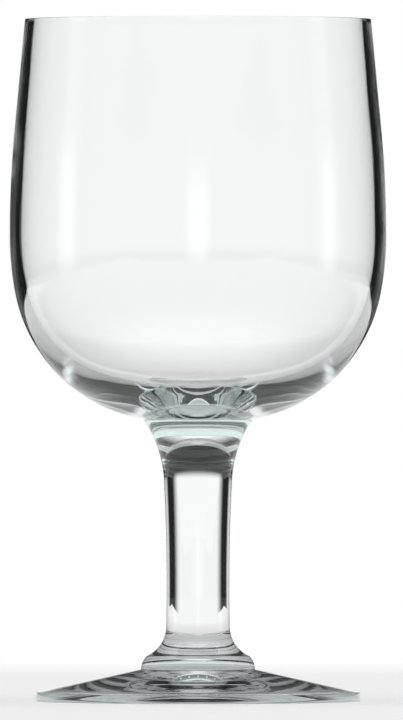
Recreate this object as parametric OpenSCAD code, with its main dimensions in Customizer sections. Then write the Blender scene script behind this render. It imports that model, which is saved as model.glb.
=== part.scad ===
// Water goblet: one piece of clear pressed glass, made by turning one outline about the Z axis
// Millimetres, +Z up, origin in the middle of the plane that the foot rests on

/* [Foot] */
// Diameter of the foot
foot_d = 72.2; // [64:0.2:80]
// Height of the foot's upright edge
foot_edge_h = 2; // [1.6:0.1:3]
// Rise of the foot's sloping top, from its edge to the collar
foot_rise = 5.1; // [3.5:0.1:8]
// Width of the flat ring that the foot rests on
rest_ring_w = 4; // [2:0.5:8]
// Height of the shallow hollow under the foot, at its middle
hollow_h = 1.8; // [0.6:0.1:3]

/* [Collar] */
// Diameter at the collar's shoulder, where the stem's lower flare ends
shoulder_d = 22.8; // [20:0.2:24.4]
// How far the collar bulges out below its shoulder
collar_out = 1.3; // [0.6:0.1:1.6]
// Height of the collar, from the foot's slope to the shoulder
collar_h = 3; // [2.4:0.1:5]

/* [Stem] */
// Height of the stem, from the collar's shoulder to the crease under the bowl
stem_h = 52.6; // [44:0.2:66]
// Diameter of the waist, the stem's thinnest level
waist_d = 14; // [11:0.2:17]
// Height of the waist above the collar's shoulder
waist_up = 15.8; // [10:0.2:24]
// Radius of the long hollow curve above and below the waist
waist_curve_r = 450; // [300:10:1200]
// Height of the stem's lower flare, above the shoulder
root_h = 6.4; // [5.6:0.1:9]
// Height of the stem's upper flare, under the bowl
flare_h = 13.2; // [9:0.2:18]

/* [Bowl outside] */
// Diameter of the crease between the stem and the bowl
crease_d = 24.2; // [21:0.2:28]
// Height of the bowl, from that crease to the rim
bowl_h = 89.3; // [76:0.1:110]
// Height of the belly, the bowl's widest level, above the crease
belly_up = 41.2; // [38:0.2:45]
// Diameter of the belly
belly_d = 84; // [80.6:0.2:92]
// Diameter of the rim
rim_d = 77.2; // [68:0.2:80]
// Height above the belly at which the upright and the leaning line of the side would meet
side_knee_up = 12; // [6:0.5:16]
// Radius of the flank, the curve just below the belly
flank_r = 70; // [60:1:100]
// Height of the flank
flank_h = 12.8; // [8:0.2:17]

/* [Bowl inside] */
// Wall at the rim
rim_wall = 2.1; // [1.4:0.1:3]
// Wall at the belly
belly_wall = 2.6; // [1.8:0.1:3.6]
// Glass from the level of the crease up to the lowest point of the inside
floor_up = 3.8; // [2:0.1:8]
// Radius of the inside just below the belly
inner_flank_r = 62; // [54:1:80]
// Height of that stretch of the inside
inner_flank_h = 12.8; // [9:0.2:16]
// Radius of the round floor of the inside
inner_floor_r = 56; // [40:1:90]
// Diameter at which that floor turns up into the corner below the flank
inner_floor_d = 41.2; // [34:0.2:46]

/* [Edges] */
// Rounding of the two edges of the rim
lip_round = 0.6; // [0.2:0.1:0.6]
// Rounding of the two edges of the foot
edge_round = 0.4; // [0.1:0.1:0.7]
// Rounding of the creases beside the collar and under the bowl
crease_round = 0.3; // [0.1:0.1:0.5]
// How far the outline's chords may lie off its true curves
chord_gap = 0.01; // [0.005:0.005:0.03]

/* [Hidden] */

// Levels, stacked up from the table
foot_top_z = foot_edge_h + foot_rise;
shoulder_z = foot_top_z + collar_h;
waist_z = shoulder_z + waist_up;
crease_z = shoulder_z + stem_h;
floor_z = crease_z + floor_up;
belly_z = crease_z + belly_up;
rim_z = crease_z + bowl_h;

// Radii
foot_r = foot_d / 2;
ring_r = foot_r - edge_round - rest_ring_w;
shoulder_r = shoulder_d / 2;
collar_r = shoulder_r + collar_out;
waist_r = waist_d / 2;
crease_r = crease_d / 2;
belly_r = belly_d / 2;
rim_r = rim_d / 2;

// The outline is in the plane of radius and height. An arc there is [centre, radius, first angle, last angle].
function ray(a) = [cos(a), sin(a)];
function angle_from(c, p) = atan2(p[1] - c[1], p[0] - c[0]);
// Angle a, turned by whole turns until it is within half a turn of angle b
function near(a, b) = a - 360 * round((a - b) / 360);
function flipped(arc) = [arc[0], arc[1], arc[3], arc[2]];
function arc_end(arc) = arc[0] + arc[1] * ray(arc[3]);

// How many chords an arc of radius r takes
function chords(r, turn) = max(2, ceil(abs(turn) / (2 * acos(1 - chord_gap / r))));

// Points along an arc, all but its last, which the next stretch of the outline brings
function points(arc) =
    let (turn = arc[3] - arc[2], n = chords(arc[1], turn))
    [for (i = [0 : n - 1]) arc[0] + arc[1] * ray(arc[2] + turn * i / n)];

// The arc that carries on from another without a kink and ends at point p
function onward(arc, p) =
    let (u = ray(arc[3]), e = p - arc_end(arc), r = -(e * e) / (2 * e * u), c = arc_end(arc) - r * u)
    [c, r, arc[3], near(angle_from(c, p), arc[3])];

// Where the tangent at point a, square to direction n, meets the tangent at point b, square to direction m
function meeting(a, n, b, m) = [a * n * m[1] - b * m * n[1], b * m * n[0] - a * n * m[0]] / cross(n, m);

// Points along the Bezier curve from a, led by near_a and near_b, to b, all but its last
function bezier(a, near_a, near_b, b, n) = [
    for (i = [0 : n - 1])
        let (t = i / n, s = 1 - t) s ^ 3 * a + 3 * s ^ 2 * t * near_a + 3 * s * t ^ 2 * near_b + t ^ 3 * b
];

// Points along the smooth corner from one arc to the next, round where they leave equal room for it
function corner_between(arc, next) =
    let (
        a = arc_end(arc),
        b = next[0] + next[1] * ray(next[2]),
        turn = abs(next[2] - arc[3]),
        tip = meeting(a, ray(arc[3]), b, ray(next[2])),
        reach = 4 / 3 * tan(turn / 4) / tan(turn / 2),
        r = max(norm(tip - a), norm(tip - b)) / tan(turn / 2)
    )
    bezier(a, a + reach * (tip - a), b + reach * (tip - b), b, chords(r, turn));

// The upright arc that bends the side, outside or inside, from the belly into the straight line to the rim
function side_bend(at_belly, at_rim) =
    let (
        lean = atan((at_belly - at_rim) / (rim_z - belly_z - side_knee_up)),
        r = side_knee_up / tan(lean / 2)
    )
    [[at_belly - r, belly_z], r, 0, lean];

// The arc that curves in from the upright just below the belly, to a depth h
function flank(at_belly, r, h) = [[at_belly - r, belly_z], r, 0, -asin(h / r)];

// A corner is [radius, height, rounding], and becomes the points of a rounding between its neighbours
function corner(a, p, b, round_r) =
    let (
        u = (a - p) / norm(a - p),
        v = (b - p) / norm(b - p),
        half = acos(u * v) / 2,
        c = p + (u + v) / norm(u + v) * round_r / sin(half),
        first = angle_from(c, p + u * round_r / tan(half)),
        last = near(angle_from(c, p + v * round_r / tan(half)), first),
        arc = [c, round_r, first, last]
    )
    concat(points(arc), [arc_end(arc)]);
function flat(p) = [p[0], p[1]];
function rounded(path) = [
    for (i = [0 : len(path) - 1])
        each len(path[i]) == 2
            ? [path[i]]
            : corner(flat(path[i - 1]), flat(path[i]), flat(path[i + 1]), path[i][2])
];

// Foot: the hollow under it, the rest ring, the upright edge and the sloping top
hollow_r = (ring_r * ring_r + hollow_h * hollow_h) / (2 * hollow_h);
hollow_c = [0, hollow_h - hollow_r];
foot_line = concat(
    points([hollow_c, hollow_r, 90, angle_from(hollow_c, [ring_r, 0])]),
    [[ring_r, 0], [foot_r, 0, edge_round], [foot_r, foot_edge_h, edge_round]]
);

// Collar: a crease, an upright start as high as the crease's rounding, and an arc up to the shoulder
collar_rise = collar_h - crease_round;
collar_curve_r = (collar_out * collar_out + collar_rise * collar_rise) / (2 * collar_out);
collar_c = [collar_r - collar_curve_r, shoulder_z - collar_rise];
collar_line = concat(
    [[collar_r, foot_top_z, crease_round]],
    points([collar_c, collar_curve_r, 0, angle_from(collar_c, [shoulder_r, shoulder_z])]),
    [[shoulder_r, shoulder_z]]
);

// Stem: one long hollow curve about the waist, and a tighter flare at each end of it
waist_c = [waist_r + waist_curve_r, waist_z];
below_waist = [waist_c, waist_curve_r, 180, 180 + asin((waist_up - root_h) / waist_curve_r)];
above_waist = [waist_c, waist_curve_r, 180, 180 - asin((stem_h - flare_h - waist_up) / waist_curve_r)];
root = onward(below_waist, [shoulder_r, shoulder_z]);
flare = onward(above_waist, [crease_r, crease_z]);
// The root's points start at the shoulder, which the collar has already placed
function but_first(list) = [for (i = [1 : len(list) - 1]) list[i]];
stem_line = concat(
    but_first(points(flipped(root))),
    points(flipped(below_waist)),
    points(above_waist),
    points(flare),
    [[crease_r, crease_z, crease_round]]
);

// Bowl, outside: the low curve from the crease, the flank, the belly and the side up to the rim
outer_flank = flank(belly_r, flank_r, flank_h);
low_curve = onward(outer_flank, [crease_r, crease_z]);
outer_side = side_bend(belly_r, rim_r);
outer_line = concat(
    but_first(points(flipped(low_curve))),
    points(flipped(outer_flank)),
    points(outer_side),
    [arc_end(outer_side), [rim_r, rim_z, lip_round]]
);

// Bowl, inside: back down from the rim, thickening towards the round floor
inner_side = side_bend(belly_r - belly_wall, rim_r - rim_wall);
inner_flank = flank(belly_r - belly_wall, inner_flank_r, inner_flank_h);
floor_half_turn = asin(inner_floor_d / 2 / inner_floor_r);
inner_floor = [[0, floor_z + inner_floor_r], inner_floor_r, floor_half_turn - 90, -90];
inner_line = concat(
    [[rim_r - rim_wall, rim_z, lip_round]],
    points(flipped(inner_side)),
    points(inner_flank),
    corner_between(inner_flank, inner_floor),
    points(inner_floor),
    [[0, floor_z]]
);

module goblet() {
    color([0.84, 0.93, 0.95, 0.5])
        rotate_extrude($fn = 144)
            polygon(rounded(concat(foot_line, collar_line, stem_line, outer_line, inner_line)));
}

goblet();
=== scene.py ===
"""Looks of a clear pressed-glass water goblet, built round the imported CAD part. Lengths are in metres."""

import math

import bpy
import numpy as np
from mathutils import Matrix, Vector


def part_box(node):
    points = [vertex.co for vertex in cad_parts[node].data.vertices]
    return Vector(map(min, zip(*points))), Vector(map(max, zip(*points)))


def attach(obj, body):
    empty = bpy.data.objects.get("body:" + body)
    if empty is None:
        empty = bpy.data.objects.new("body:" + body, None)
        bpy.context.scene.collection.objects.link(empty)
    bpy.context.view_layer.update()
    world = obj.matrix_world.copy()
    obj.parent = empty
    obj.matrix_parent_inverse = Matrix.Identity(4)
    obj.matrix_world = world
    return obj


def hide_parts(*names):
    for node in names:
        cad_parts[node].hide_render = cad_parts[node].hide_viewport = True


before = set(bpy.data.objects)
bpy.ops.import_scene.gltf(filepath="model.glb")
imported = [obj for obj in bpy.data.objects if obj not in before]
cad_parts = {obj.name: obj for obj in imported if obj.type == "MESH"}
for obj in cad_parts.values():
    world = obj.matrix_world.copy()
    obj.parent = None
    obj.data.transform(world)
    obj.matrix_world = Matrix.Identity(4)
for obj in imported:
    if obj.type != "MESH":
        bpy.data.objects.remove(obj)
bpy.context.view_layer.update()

MM = 0.001
WHITE = (1.0, 1.0, 1.0, 1.0)

# The goblet's outline, the same sizes as the CAD part has
FOOT_D = 72.2 * MM
FOOT_EDGE_H = 2.0 * MM
FOOT_RISE = 5.1 * MM
REST_RING_W = 4.0 * MM
HOLLOW_H = 1.8 * MM
EDGE_ROUND = 0.4 * MM
SHOULDER_D = 22.8 * MM
COLLAR_OUT = 1.3 * MM
COLLAR_H = 3.0 * MM
STEM_H = 52.6 * MM
WAIST_D = 14.0 * MM
WAIST_UP = 15.8 * MM
WAIST_CURVE_R = 450 * MM
ROOT_H = 6.4 * MM
FLARE_H = 13.2 * MM
CREASE_D = 24.2 * MM
BOWL_H = 89.3 * MM
BELLY_UP = 41.2 * MM
BELLY_D = 84.0 * MM
RIM_D = 77.2 * MM
SIDE_KNEE_UP = 12.0 * MM
FLANK_R = 70 * MM
FLANK_H = 12.8 * MM
RIM_WALL = 2.1 * MM
BELLY_WALL = 2.6 * MM
FLOOR_UP = 3.8 * MM
INNER_FLANK_R = 62 * MM
INNER_FLANK_H = 12.8 * MM
INNER_FLOOR_R = 56 * MM
INNER_FLOOR_D = 41.2 * MM

# Its radii, and its levels stacked up from the table
FOOT_R, SHOULDER_R, WAIST_R = FOOT_D / 2, SHOULDER_D / 2, WAIST_D / 2
CREASE_R, BELLY_R, RIM_R = CREASE_D / 2, BELLY_D / 2, RIM_D / 2
FOOT_TOP_Z = FOOT_EDGE_H + FOOT_RISE
SHOULDER_Z = FOOT_TOP_Z + COLLAR_H
WAIST_Z = SHOULDER_Z + WAIST_UP
CREASE_Z = SHOULDER_Z + STEM_H
BELLY_Z = CREASE_Z + BELLY_UP
RIM_Z = CREASE_Z + BOWL_H
INNER_FLOOR_Z = CREASE_Z + FLOOR_UP

# How the outline is followed in fine steps, softened, thinned to points that crowd at its bends, and turned
FINE_STEP = 0.04 * MM
SAME_PLACE = 1e-9
POLISH_REACH = 0.5 * MM
OUTLINE_POINTS = 360
EVEN_SHARE, LEAST_WEIGHT = 0.3, 0.02
SEGMENTS = 256

# Each noise has a scale and a number of finer layers
WAVE_NOISE, RIPPLE_NOISE, HAZE_NOISE, SCUFF_NOISE = (45, 1), (40, 1), (160, 4), (900, 3)

# How the glass bends light, and the slow waves and level ripples in its surface
GLASS_IOR = 1.52
WAVE_HEIGHT = 0.1 * MM
RIPPLE_STRETCH, RIPPLE_SHARE = (1, 1, 5), 0.12

# A breath of haze, and the scuffed ring where the foot stands, which is gone by the second of its heights
HAZE_RANGE, HAZE_ROUGHNESS = (0.45, 0.75), 0.03
WORN_HEIGHTS, WORN_ROUGHNESS = (0.02 * MM, 0.1 * MM), 0.4
SCUFF_RANGE, SCUFF_LEAST = (0.35, 0.7), 0.5

# A faint tint that shows through its depth
TINT, TINT_DENSITY = (0.86, 0.95, 0.94, 1), 14

# The studio has low screens at the ends of the axes, white up to the first of two angles off an axis and
# gone by the second. They are broad for light that thick glass bends, and narrow for what it reflects.
BROAD_SCREEN, NARROW_SCREEN = (25, 38), (3, 10)

# Its levels are sines of the angle above the table. The screens fade out between these two. So does the
# white all round, which is met by the camera and by light that has crossed both walls, in and out of each.
SCREEN_TOP = (0.06, 0.16)
CROSSINGS_OF_BOTH_WALLS = 4

# Below the table's level it is white again, and sooner for light that no glass has reflected
WHITE_BELOW, WHITE_BELOW_UNREFLECTED = (-0.13, -0.2), (-0.04, -0.08)

# The soft ceiling, and the darkness between it and the screens
CEILING_LEVELS, CEILING_TONE, DARK_TONE = (0.55, 0.98), 2.45, 0.02

# The floor, whose outer part fades into the white round it
FLOOR_TONE, FLOOR_ROUGHNESS = 0.85, 0.9
FLOOR_REACH, FADE_RANGE = 0.56, (0.3, 0.54)

# Light reflected inside the glass meets this share of the ceiling, and sees the floor as a flat glow of
# this tone: a painted shade that darkens the outlines of the thick glass
CEILING_SHARE_INSIDE, PAINTED_SHADE_TONE_INSIDE = 0.4, 0.55
LIGHT_BOUNCES = 32

# The photograph's frame, in its own pixels, and the long lens that shows it
FRAME_W, FRAME_H = 403, 720
GOBLET_TOP_Y, GOBLET_FOOT_Y = 19.0, 701.0
GOBLET_AXIS_X = 198.0
LENS_MM, SENSOR_MM = 900, 36
CLIP_END = 100


def ray(degrees):
    return np.array([math.cos(math.radians(degrees)), math.sin(math.radians(degrees))])


def angle_from(centre, point):
    return math.degrees(math.atan2(point[1] - centre[1], point[0] - centre[0]))


def near(angle, other):
    """angle, turned by whole turns until it is within half a turn of other."""
    return angle - 360 * round((angle - other) / 360)


class Arc:
    """A stretch of the outline, in the plane of radius and height."""

    def __init__(self, centre, radius, first, last):
        self.centre, self.radius, self.first, self.last = np.array(centre, float), radius, first, last

    def start(self):
        return self.centre + self.radius * ray(self.first)

    def end(self):
        return self.centre + self.radius * ray(self.last)

    def flipped(self):
        return Arc(self.centre, self.radius, self.last, self.first)

    def onward(self, point):
        """The arc that carries on from this one without a kink and ends at point."""
        u, e = ray(self.last), np.array(point) - self.end()
        radius = -(e @ e) / (2 * e @ u)
        centre = self.end() - radius * u
        return Arc(centre, radius, self.last, near(angle_from(centre, point), self.last))

    def points(self):
        turn = math.radians(abs(self.last - self.first))
        steps = max(2, math.ceil(turn * self.radius / FINE_STEP))
        angles = np.linspace(self.first, self.last, steps + 1)
        return [self.centre + self.radius * ray(a) for a in angles]


def corner_between(arc, following):
    """Points of the smooth corner from one arc to the next, a Bezier curve led by the two tangents."""
    a, b = arc.end(), following.start()
    across = [ray(arc.last), ray(following.first)]
    tip = np.linalg.solve(across, [a @ across[0], b @ across[1]])
    turn = math.radians(abs(following.first - arc.last))
    reach = 4 / 3 * math.tan(turn / 4) / math.tan(turn / 2)
    near_a, near_b = a + reach * (tip - a), b + reach * (tip - b)
    steps = math.ceil(2 * np.linalg.norm(tip - a) / FINE_STEP)
    points = []
    for t in np.linspace(0, 1, steps + 1):
        s = 1 - t
        points.append(s**3 * a + 3 * s**2 * t * near_a + 3 * s * t**2 * near_b + t**3 * b)
    return points


def side_bend(at_belly, at_rim):
    """The upright arc that bends the side from the belly into the straight line to the rim."""
    lean = math.degrees(math.atan((at_belly - at_rim) / (RIM_Z - BELLY_Z - SIDE_KNEE_UP)))
    radius = SIDE_KNEE_UP / math.tan(math.radians(lean / 2))
    return Arc((at_belly - radius, BELLY_Z), radius, 0, lean)


def flank(at_belly, radius, height):
    """The arc that curves in from the upright just below the belly."""
    return Arc((at_belly - radius, BELLY_Z), radius, 0, -math.degrees(math.asin(height / radius)))


def foot_line():
    """The hollow under the foot, the ring that it rests on, its edge and its sloping top."""
    ring_r = FOOT_R - EDGE_ROUND - REST_RING_W
    hollow_r = (ring_r**2 + HOLLOW_H**2) / (2 * HOLLOW_H)
    hollow_c = (0, HOLLOW_H - hollow_r)
    hollow = Arc(hollow_c, hollow_r, 90, angle_from(hollow_c, (ring_r, 0)))
    return hollow.points() + [(FOOT_R, 0), (FOOT_R, FOOT_EDGE_H), (SHOULDER_R + COLLAR_OUT, FOOT_TOP_Z)]


def collar_line():
    """One arc that leans in from the foot's slope to the shoulder."""
    radius = (COLLAR_OUT**2 + COLLAR_H**2) / (2 * COLLAR_OUT)
    centre = (SHOULDER_R + COLLAR_OUT - radius, FOOT_TOP_Z)
    return Arc(centre, radius, 0, angle_from(centre, (SHOULDER_R, SHOULDER_Z))).points()


def stem_line():
    """One long hollow curve about the waist, and a tighter flare at each end of it."""
    centre = (WAIST_R + WAIST_CURVE_R, WAIST_Z)
    below = math.degrees(math.asin((WAIST_UP - ROOT_H) / WAIST_CURVE_R))
    above = math.degrees(math.asin((STEM_H - FLARE_H - WAIST_UP) / WAIST_CURVE_R))
    below_waist = Arc(centre, WAIST_CURVE_R, 180, 180 + below)
    above_waist = Arc(centre, WAIST_CURVE_R, 180, 180 - above)
    root = below_waist.onward((SHOULDER_R, SHOULDER_Z)).flipped()
    flare = above_waist.onward((CREASE_R, CREASE_Z))
    return root.points() + below_waist.flipped().points() + above_waist.points() + flare.points()


def outer_line():
    """The bowl's outside, from the crease up to the rim."""
    outer_flank = flank(BELLY_R, FLANK_R, FLANK_H)
    low_curve = outer_flank.onward((CREASE_R, CREASE_Z)).flipped()
    line = low_curve.points() + outer_flank.flipped().points() + side_bend(BELLY_R, RIM_R).points()
    return line + [(RIM_R, RIM_Z)]


def inner_line():
    """The bowl's inside, from the rim down to the middle of its floor."""
    inner_side = side_bend(BELLY_R - BELLY_WALL, RIM_R - RIM_WALL).flipped()
    inner_flank = flank(BELLY_R - BELLY_WALL, INNER_FLANK_R, INNER_FLANK_H)
    half_turn = math.degrees(math.asin(INNER_FLOOR_D / 2 / INNER_FLOOR_R))
    inner_floor = Arc((0, INNER_FLOOR_Z + INNER_FLOOR_R), INNER_FLOOR_R, half_turn - 90, -90)
    line = [(RIM_R - RIM_WALL, RIM_Z)] + inner_side.points() + inner_flank.points()
    return line + corner_between(inner_flank, inner_floor) + inner_floor.points()


def sharp_outline():
    """The outline as the CAD part has it, with sharp corners, from under the foot to inside the bowl."""
    line = foot_line() + collar_line() + stem_line() + outer_line() + inner_line()
    return np.array([np.array(p, float) for p in line])


def evenly(line, step):
    """The line again, with points at even steps along it."""
    along = np.concatenate([[0], np.cumsum(np.linalg.norm(np.diff(line, axis=0), axis=1))])
    keep = np.concatenate([[True], np.diff(along) > SAME_PLACE])
    places = np.linspace(0, along[-1], math.ceil(along[-1] / step) + 1)
    return np.column_stack([np.interp(places, along[keep], line[keep, i]) for i in (0, 1)])


def polished(line, reach):
    """The even line, its corners softened as by a flame: each point becomes the mean of those in reach."""
    half = round(reach / FINE_STEP / 2)
    kernel = np.convolve(np.ones(half + 1), np.ones(half + 1))
    kernel /= kernel.sum()
    pad = len(kernel) // 2
    mirror = np.array([-1, 1])
    held = np.concatenate([line[pad:0:-1] * mirror, line, line[-2 : -pad - 2 : -1] * mirror])
    return np.column_stack([np.convolve(held[:, i], kernel, "valid") for i in (0, 1)])


def outline():
    """Points of the outline, close together where it turns, and the outward direction at each."""
    line = polished(evenly(sharp_outline(), FINE_STEP), POLISH_REACH)
    way = np.gradient(line, axis=0)
    way /= np.linalg.norm(way, axis=1)[:, None]
    turning = np.linalg.norm(np.gradient(way, axis=0), axis=1)
    weight = np.sqrt(turning) + EVEN_SHARE * np.sqrt(turning.mean()) + LEAST_WEIGHT
    count = np.concatenate([[0], np.cumsum((weight[1:] + weight[:-1]) / 2)])
    picks = np.interp(np.linspace(0, count[-1], OUTLINE_POINTS), count, np.arange(len(line)))
    at = np.arange(len(line))
    points = np.column_stack([np.interp(picks, at, line[:, i]) for i in (0, 1)])
    outward = np.column_stack([np.interp(picks, at, way[:, 1]), np.interp(picks, at, -way[:, 0])])
    points[0, 0] = points[-1, 0] = 0
    return points, outward / np.linalg.norm(outward, axis=1)[:, None]


def around(values):
    """Points or directions of the outline, turned about Z into rings of them."""
    angles = np.linspace(0, 2 * math.pi, SEGMENTS, endpoint=False)
    spokes = np.column_stack([np.cos(angles), np.sin(angles)])
    flat = values[:, None, :1] * spokes[None]
    up = np.broadcast_to(values[:, None, 1:], (len(values), SEGMENTS, 1))
    return np.concatenate([flat, up], axis=2).reshape(-1, 3)


def ring_faces(rings):
    """Faces between the rings, and from the first and the last of them to its pole."""
    here = np.arange(SEGMENTS)
    there = (here + 1) % SEGMENTS
    faces = []
    for i in range(rings - 1):
        low, high = i * SEGMENTS, (i + 1) * SEGMENTS
        faces += np.column_stack([low + here, low + there, high + there, high + here]).tolist()
    last, foot_pole = (rings - 1) * SEGMENTS, rings * SEGMENTS
    faces += np.column_stack([np.full(SEGMENTS, foot_pole), there, here]).tolist()
    faces += np.column_stack([np.full(SEGMENTS, foot_pole + 1), last + here, last + there]).tolist()
    return faces


def turned(name, points, outward):
    """A closed mesh: the outline turned about Z, with its true normals."""
    verts = np.concatenate([around(points[1:-1]), [[0, 0, points[0, 1]], [0, 0, points[-1, 1]]]])
    normals = np.concatenate([around(outward[1:-1]), [[0, 0, -1], [0, 0, 1]]])
    faces = ring_faces(len(points) - 2)
    mesh = bpy.data.meshes.new(name)
    mesh.from_pydata(verts.tolist(), [], faces)
    mesh.polygons.foreach_set("use_smooth", np.ones(len(faces), bool))
    mesh.normals_split_custom_set_from_vertices(normals.tolist())
    mesh.update()
    piece = bpy.data.objects.new(name, mesh)
    bpy.context.scene.collection.objects.link(piece)
    return piece


def math_node(tree, operation, *values):
    node = tree.nodes.new("ShaderNodeMath")
    node.operation = operation
    for socket, value in zip(node.inputs, values):
        if isinstance(value, (int, float)):
            socket.default_value = value
        else:
            tree.links.new(value, socket)
    return node.outputs[0]


def product(tree, value, other):
    return math_node(tree, "MULTIPLY", value, other)


def larger(tree, value, other):
    return math_node(tree, "MAXIMUM", value, other)


def at_least(tree, count, number):
    """1 where a whole count has reached number, and 0 before."""
    return math_node(tree, "GREATER_THAN", count, number - 0.5)


def smooth_range(tree, value, span, to_low, to_high):
    """to_low where value is at the span's first end, to_high at its second, and smooth between them."""
    node = tree.nodes.new("ShaderNodeMapRange")
    node.interpolation_type = "SMOOTHSTEP"
    tree.links.new(value, node.inputs["Value"])
    for name, number in zip(("From Min", "From Max", "To Min", "To Max"), (*span, to_low, to_high)):
        node.inputs[name].default_value = number
    return node.outputs["Result"]


def noise(tree, place, scale, detail):
    node = tree.nodes.new("ShaderNodeTexNoise")
    node.inputs["Scale"].default_value = scale
    node.inputs["Detail"].default_value = detail
    tree.links.new(place, node.inputs["Vector"])
    return node.outputs["Fac"]


def stretched(tree, place, scale):
    node = tree.nodes.new("ShaderNodeVectorMath")
    node.operation = "MULTIPLY"
    node.inputs[1].default_value = scale
    tree.links.new(place, node.inputs[0])
    return node.outputs["Vector"]


def height_above_table(tree, place):
    split = tree.nodes.new("ShaderNodeSeparateXYZ")
    tree.links.new(place, split.inputs[0])
    return split.outputs["Z"]


def surface_roughness(tree, place):
    """Fire-polished, but for faint patches of haze and the matt scuffs of the ring that it stands on."""
    worn = smooth_range(tree, height_above_table(tree, place), WORN_HEIGHTS, WORN_ROUGHNESS, 0)
    scuffs = smooth_range(tree, noise(tree, place, *SCUFF_NOISE), SCUFF_RANGE, SCUFF_LEAST, 1)
    haze = smooth_range(tree, noise(tree, place, *HAZE_NOISE), HAZE_RANGE, 0, HAZE_ROUGHNESS)
    return larger(tree, product(tree, worn, scuffs), haze)


def surface_waves(tree, place):
    """The normal of a surface that waves slowly, and ripples a little from level to level."""
    waves = noise(tree, place, *WAVE_NOISE)
    ripples = noise(tree, stretched(tree, place, RIPPLE_STRETCH), *RIPPLE_NOISE)
    bump = tree.nodes.new("ShaderNodeBump")
    bump.inputs["Distance"].default_value = WAVE_HEIGHT
    height = math_node(tree, "ADD", waves, product(tree, ripples, RIPPLE_SHARE))
    tree.links.new(height, bump.inputs["Height"])
    return bump.outputs["Normal"]


def glass():
    """Clear soda-lime glass, with a faint green tint that shows only through its depth."""
    mat = bpy.data.materials.new("clear_glass")
    mat.use_nodes = True
    tree = mat.node_tree
    shader = tree.nodes["Principled BSDF"]
    shader.inputs["Base Color"].default_value = WHITE
    shader.inputs["Transmission Weight"].default_value = 1
    shader.inputs["IOR"].default_value = GLASS_IOR
    place = tree.nodes.new("ShaderNodeTexCoord").outputs["Object"]
    tree.links.new(surface_roughness(tree, place), shader.inputs["Roughness"])
    tree.links.new(surface_waves(tree, place), shader.inputs["Normal"])
    tint = tree.nodes.new("ShaderNodeVolumeAbsorption")
    tint.inputs["Color"].default_value = TINT
    tint.inputs["Density"].default_value = TINT_DENSITY
    tree.links.new(tint.outputs["Volume"], tree.nodes["Material Output"].inputs["Volume"])
    return mat


def seen_or_refracted(tree):
    """1 for what the camera sees, straight or by way of the glass, and 0 for what only lights the scene."""
    path = tree.nodes.new("ShaderNodeLightPath")
    by_glass = larger(tree, path.outputs["Is Glossy Ray"], path.outputs["Is Transmission Ray"])
    return larger(tree, path.outputs["Is Camera Ray"], by_glass)


def reflected_inside(tree):
    """1 for light that the glass has both let in and reflected."""
    path = tree.nodes.new("ShaderNodeLightPath")
    let_in = at_least(tree, path.outputs["Transmission Depth"], 1)
    return product(tree, let_in, at_least(tree, path.outputs["Glossy Depth"], 1))


def glow(tree, tone):
    shader = tree.nodes.new("ShaderNodeEmission")
    shader.inputs["Color"].default_value = (tone, tone, tone, 1)
    return shader.outputs[0]


def mixed(tree, share, shader, other):
    mix = tree.nodes.new("ShaderNodeMixShader")
    for socket, value in zip(mix.inputs, (share, shader, other)):
        tree.links.new(value, socket)
    return mix.outputs[0]


def floor_material():
    """Matt and pale, fading into the white round it where its outer part is seen or refracted.

    For light that is reflected inside the glass it is a flat, darker glow instead: a painted shade that
    firms the outlines of the thick parts.
    """
    mat = bpy.data.materials.new("floor_white")
    mat.use_nodes = True
    tree = mat.node_tree
    shader = tree.nodes["Principled BSDF"]
    shader.inputs["Base Color"].default_value = (FLOOR_TONE, FLOOR_TONE, FLOOR_TONE, 1)
    shader.inputs["Roughness"].default_value = FLOOR_ROUGHNESS
    shader.inputs["Specular IOR Level"].default_value = 0
    out = tree.nodes.new("ShaderNodeVectorMath")
    out.operation = "LENGTH"
    tree.links.new(tree.nodes.new("ShaderNodeTexCoord").outputs["Object"], out.inputs[0])
    fade = smooth_range(tree, out.outputs["Value"], FADE_RANGE, 0, 1)
    outer = product(tree, seen_or_refracted(tree), fade)
    pale = mixed(tree, outer, shader.outputs[0], glow(tree, 1))
    # Painted shade: rays reflected inside the glass see the floor as a flat darker glow, which draws dark
    # outlines in the thick glass
    surface = mixed(tree, reflected_inside(tree), pale, glow(tree, PAINTED_SHADE_TONE_INSIDE))
    tree.links.new(surface, tree.nodes["Material Output"].inputs["Surface"])
    return mat


def make_floor():
    mesh = bpy.data.meshes.new("floor")
    reach = FLOOR_REACH
    corners = [(-reach, -reach, 0), (reach, -reach, 0), (reach, reach, 0), (-reach, reach, 0)]
    mesh.from_pydata(corners, [], [(0, 1, 2, 3)])
    mesh.materials.append(floor_material())
    floor = bpy.data.objects.new("floor", mesh)
    bpy.context.scene.collection.objects.link(floor)


def direction(tree):
    """How far up the light comes from, as a sine, and how far off the nearer axis, as a tangent."""
    split = tree.nodes.new("ShaderNodeSeparateXYZ")
    tree.links.new(tree.nodes.new("ShaderNodeTexCoord").outputs["Generated"], split.inputs[0])
    x, y = (math_node(tree, "ABSOLUTE", split.outputs[axis]) for axis in ("X", "Y"))
    off_axis = math_node(tree, "DIVIDE", math_node(tree, "MINIMUM", x, y), larger(tree, x, y))
    return split.outputs["Z"], off_axis


def screens(tree, off_axis, angles):
    """1 on the screens about each axis, and 0 between them."""
    return smooth_range(tree, off_axis, [math.tan(math.radians(a)) for a in angles], 1, 0)


def low_white(tree, level, off_axis, path, unreflected):
    """The white low down: all round for the camera and through both walls, else on the screens alone."""
    broad = product(tree, screens(tree, off_axis, BROAD_SCREEN), unreflected)
    across = larger(tree, screens(tree, off_axis, NARROW_SCREEN), broad)
    by_walls = at_least(tree, path.outputs["Transmission Depth"], CROSSINGS_OF_BOTH_WALLS)
    all_round = larger(tree, path.outputs["Is Camera Ray"], by_walls)
    return product(tree, larger(tree, across, all_round), smooth_range(tree, level, SCREEN_TOP, 1, 0))


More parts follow.
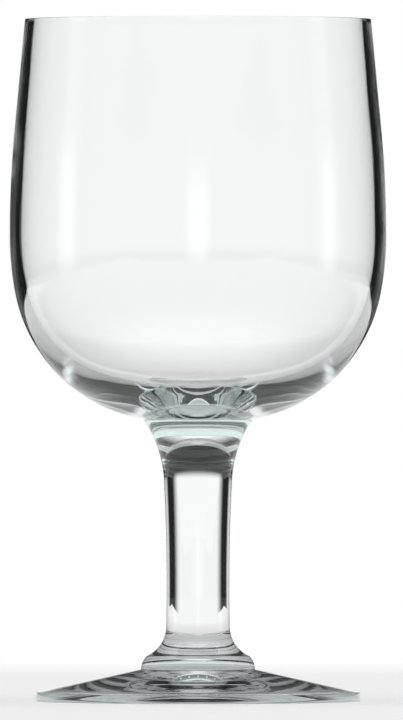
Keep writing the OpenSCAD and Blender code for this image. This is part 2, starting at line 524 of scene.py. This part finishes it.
def white_below(tree, level, unreflected):
    """The white below the table's level, which starts higher up for light that no glass has reflected."""
    higher = product(tree, smooth_range(tree, level, WHITE_BELOW_UNREFLECTED, 0, 1), unreflected)
    return larger(tree, smooth_range(tree, level, WHITE_BELOW, 0, 1), higher)


def ceiling(tree, level):
    tone = smooth_range(tree, level, CEILING_LEVELS, DARK_TONE, CEILING_TONE)
    share = math_node(tree, "MULTIPLY_ADD", reflected_inside(tree), CEILING_SHARE_INSIDE - 1, 1)
    return product(tree, tone, share)


def make_world():
    """The light, and the white that stands behind the goblet."""
    world = bpy.data.worlds.new("studio")
    bpy.context.scene.world = world
    world.use_nodes = True
    tree = world.node_tree
    level, off_axis = direction(tree)
    path = tree.nodes.new("ShaderNodeLightPath")
    unreflected = math_node(tree, "SUBTRACT", 1, at_least(tree, path.outputs["Glossy Depth"], 1))
    low = low_white(tree, level, off_axis, path, unreflected)
    white = larger(tree, low, white_below(tree, level, unreflected))
    back = tree.nodes["Background"]
    tree.links.new(larger(tree, white, ceiling(tree, level)), back.inputs["Color"])
    back.inputs["Strength"].default_value = 1


def make_camera():
    """Level with the goblet's middle and far off, for very nearly the flat side view of the drawing."""
    low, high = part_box("goblet")
    metres_per_pixel = (high.z - low.z) / (GOBLET_FOOT_Y - GOBLET_TOP_Y)
    data = bpy.data.cameras.new("camera")
    data.lens = LENS_MM
    data.sensor_width = SENSOR_MM
    data.clip_end = CLIP_END
    camera = bpy.data.objects.new("camera", data)
    bpy.context.scene.collection.objects.link(camera)
    camera.location = (
        (FRAME_W / 2 - GOBLET_AXIS_X) * metres_per_pixel,
        -FRAME_H * metres_per_pixel * LENS_MM / SENSOR_MM,
        (GOBLET_FOOT_Y - FRAME_H / 2) * metres_per_pixel,
    )
    camera.rotation_euler = (math.pi / 2, 0, 0)
    bpy.context.scene.camera = camera


goblet = turned("goblet_glass", *outline())
goblet.data.materials.append(glass())
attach(goblet, "root")
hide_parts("goblet")

make_floor()
make_world()
make_camera()
bpy.context.scene.view_settings.view_transform = "Standard"

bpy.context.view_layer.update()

# Light crosses the thick glass many times, and falls through it onto the floor without being blurred
cycles = bpy.context.scene.cycles
cycles.max_bounces = cycles.glossy_bounces = cycles.transmission_bounces = LIGHT_BOUNCES
cycles.blur_glossy = 0
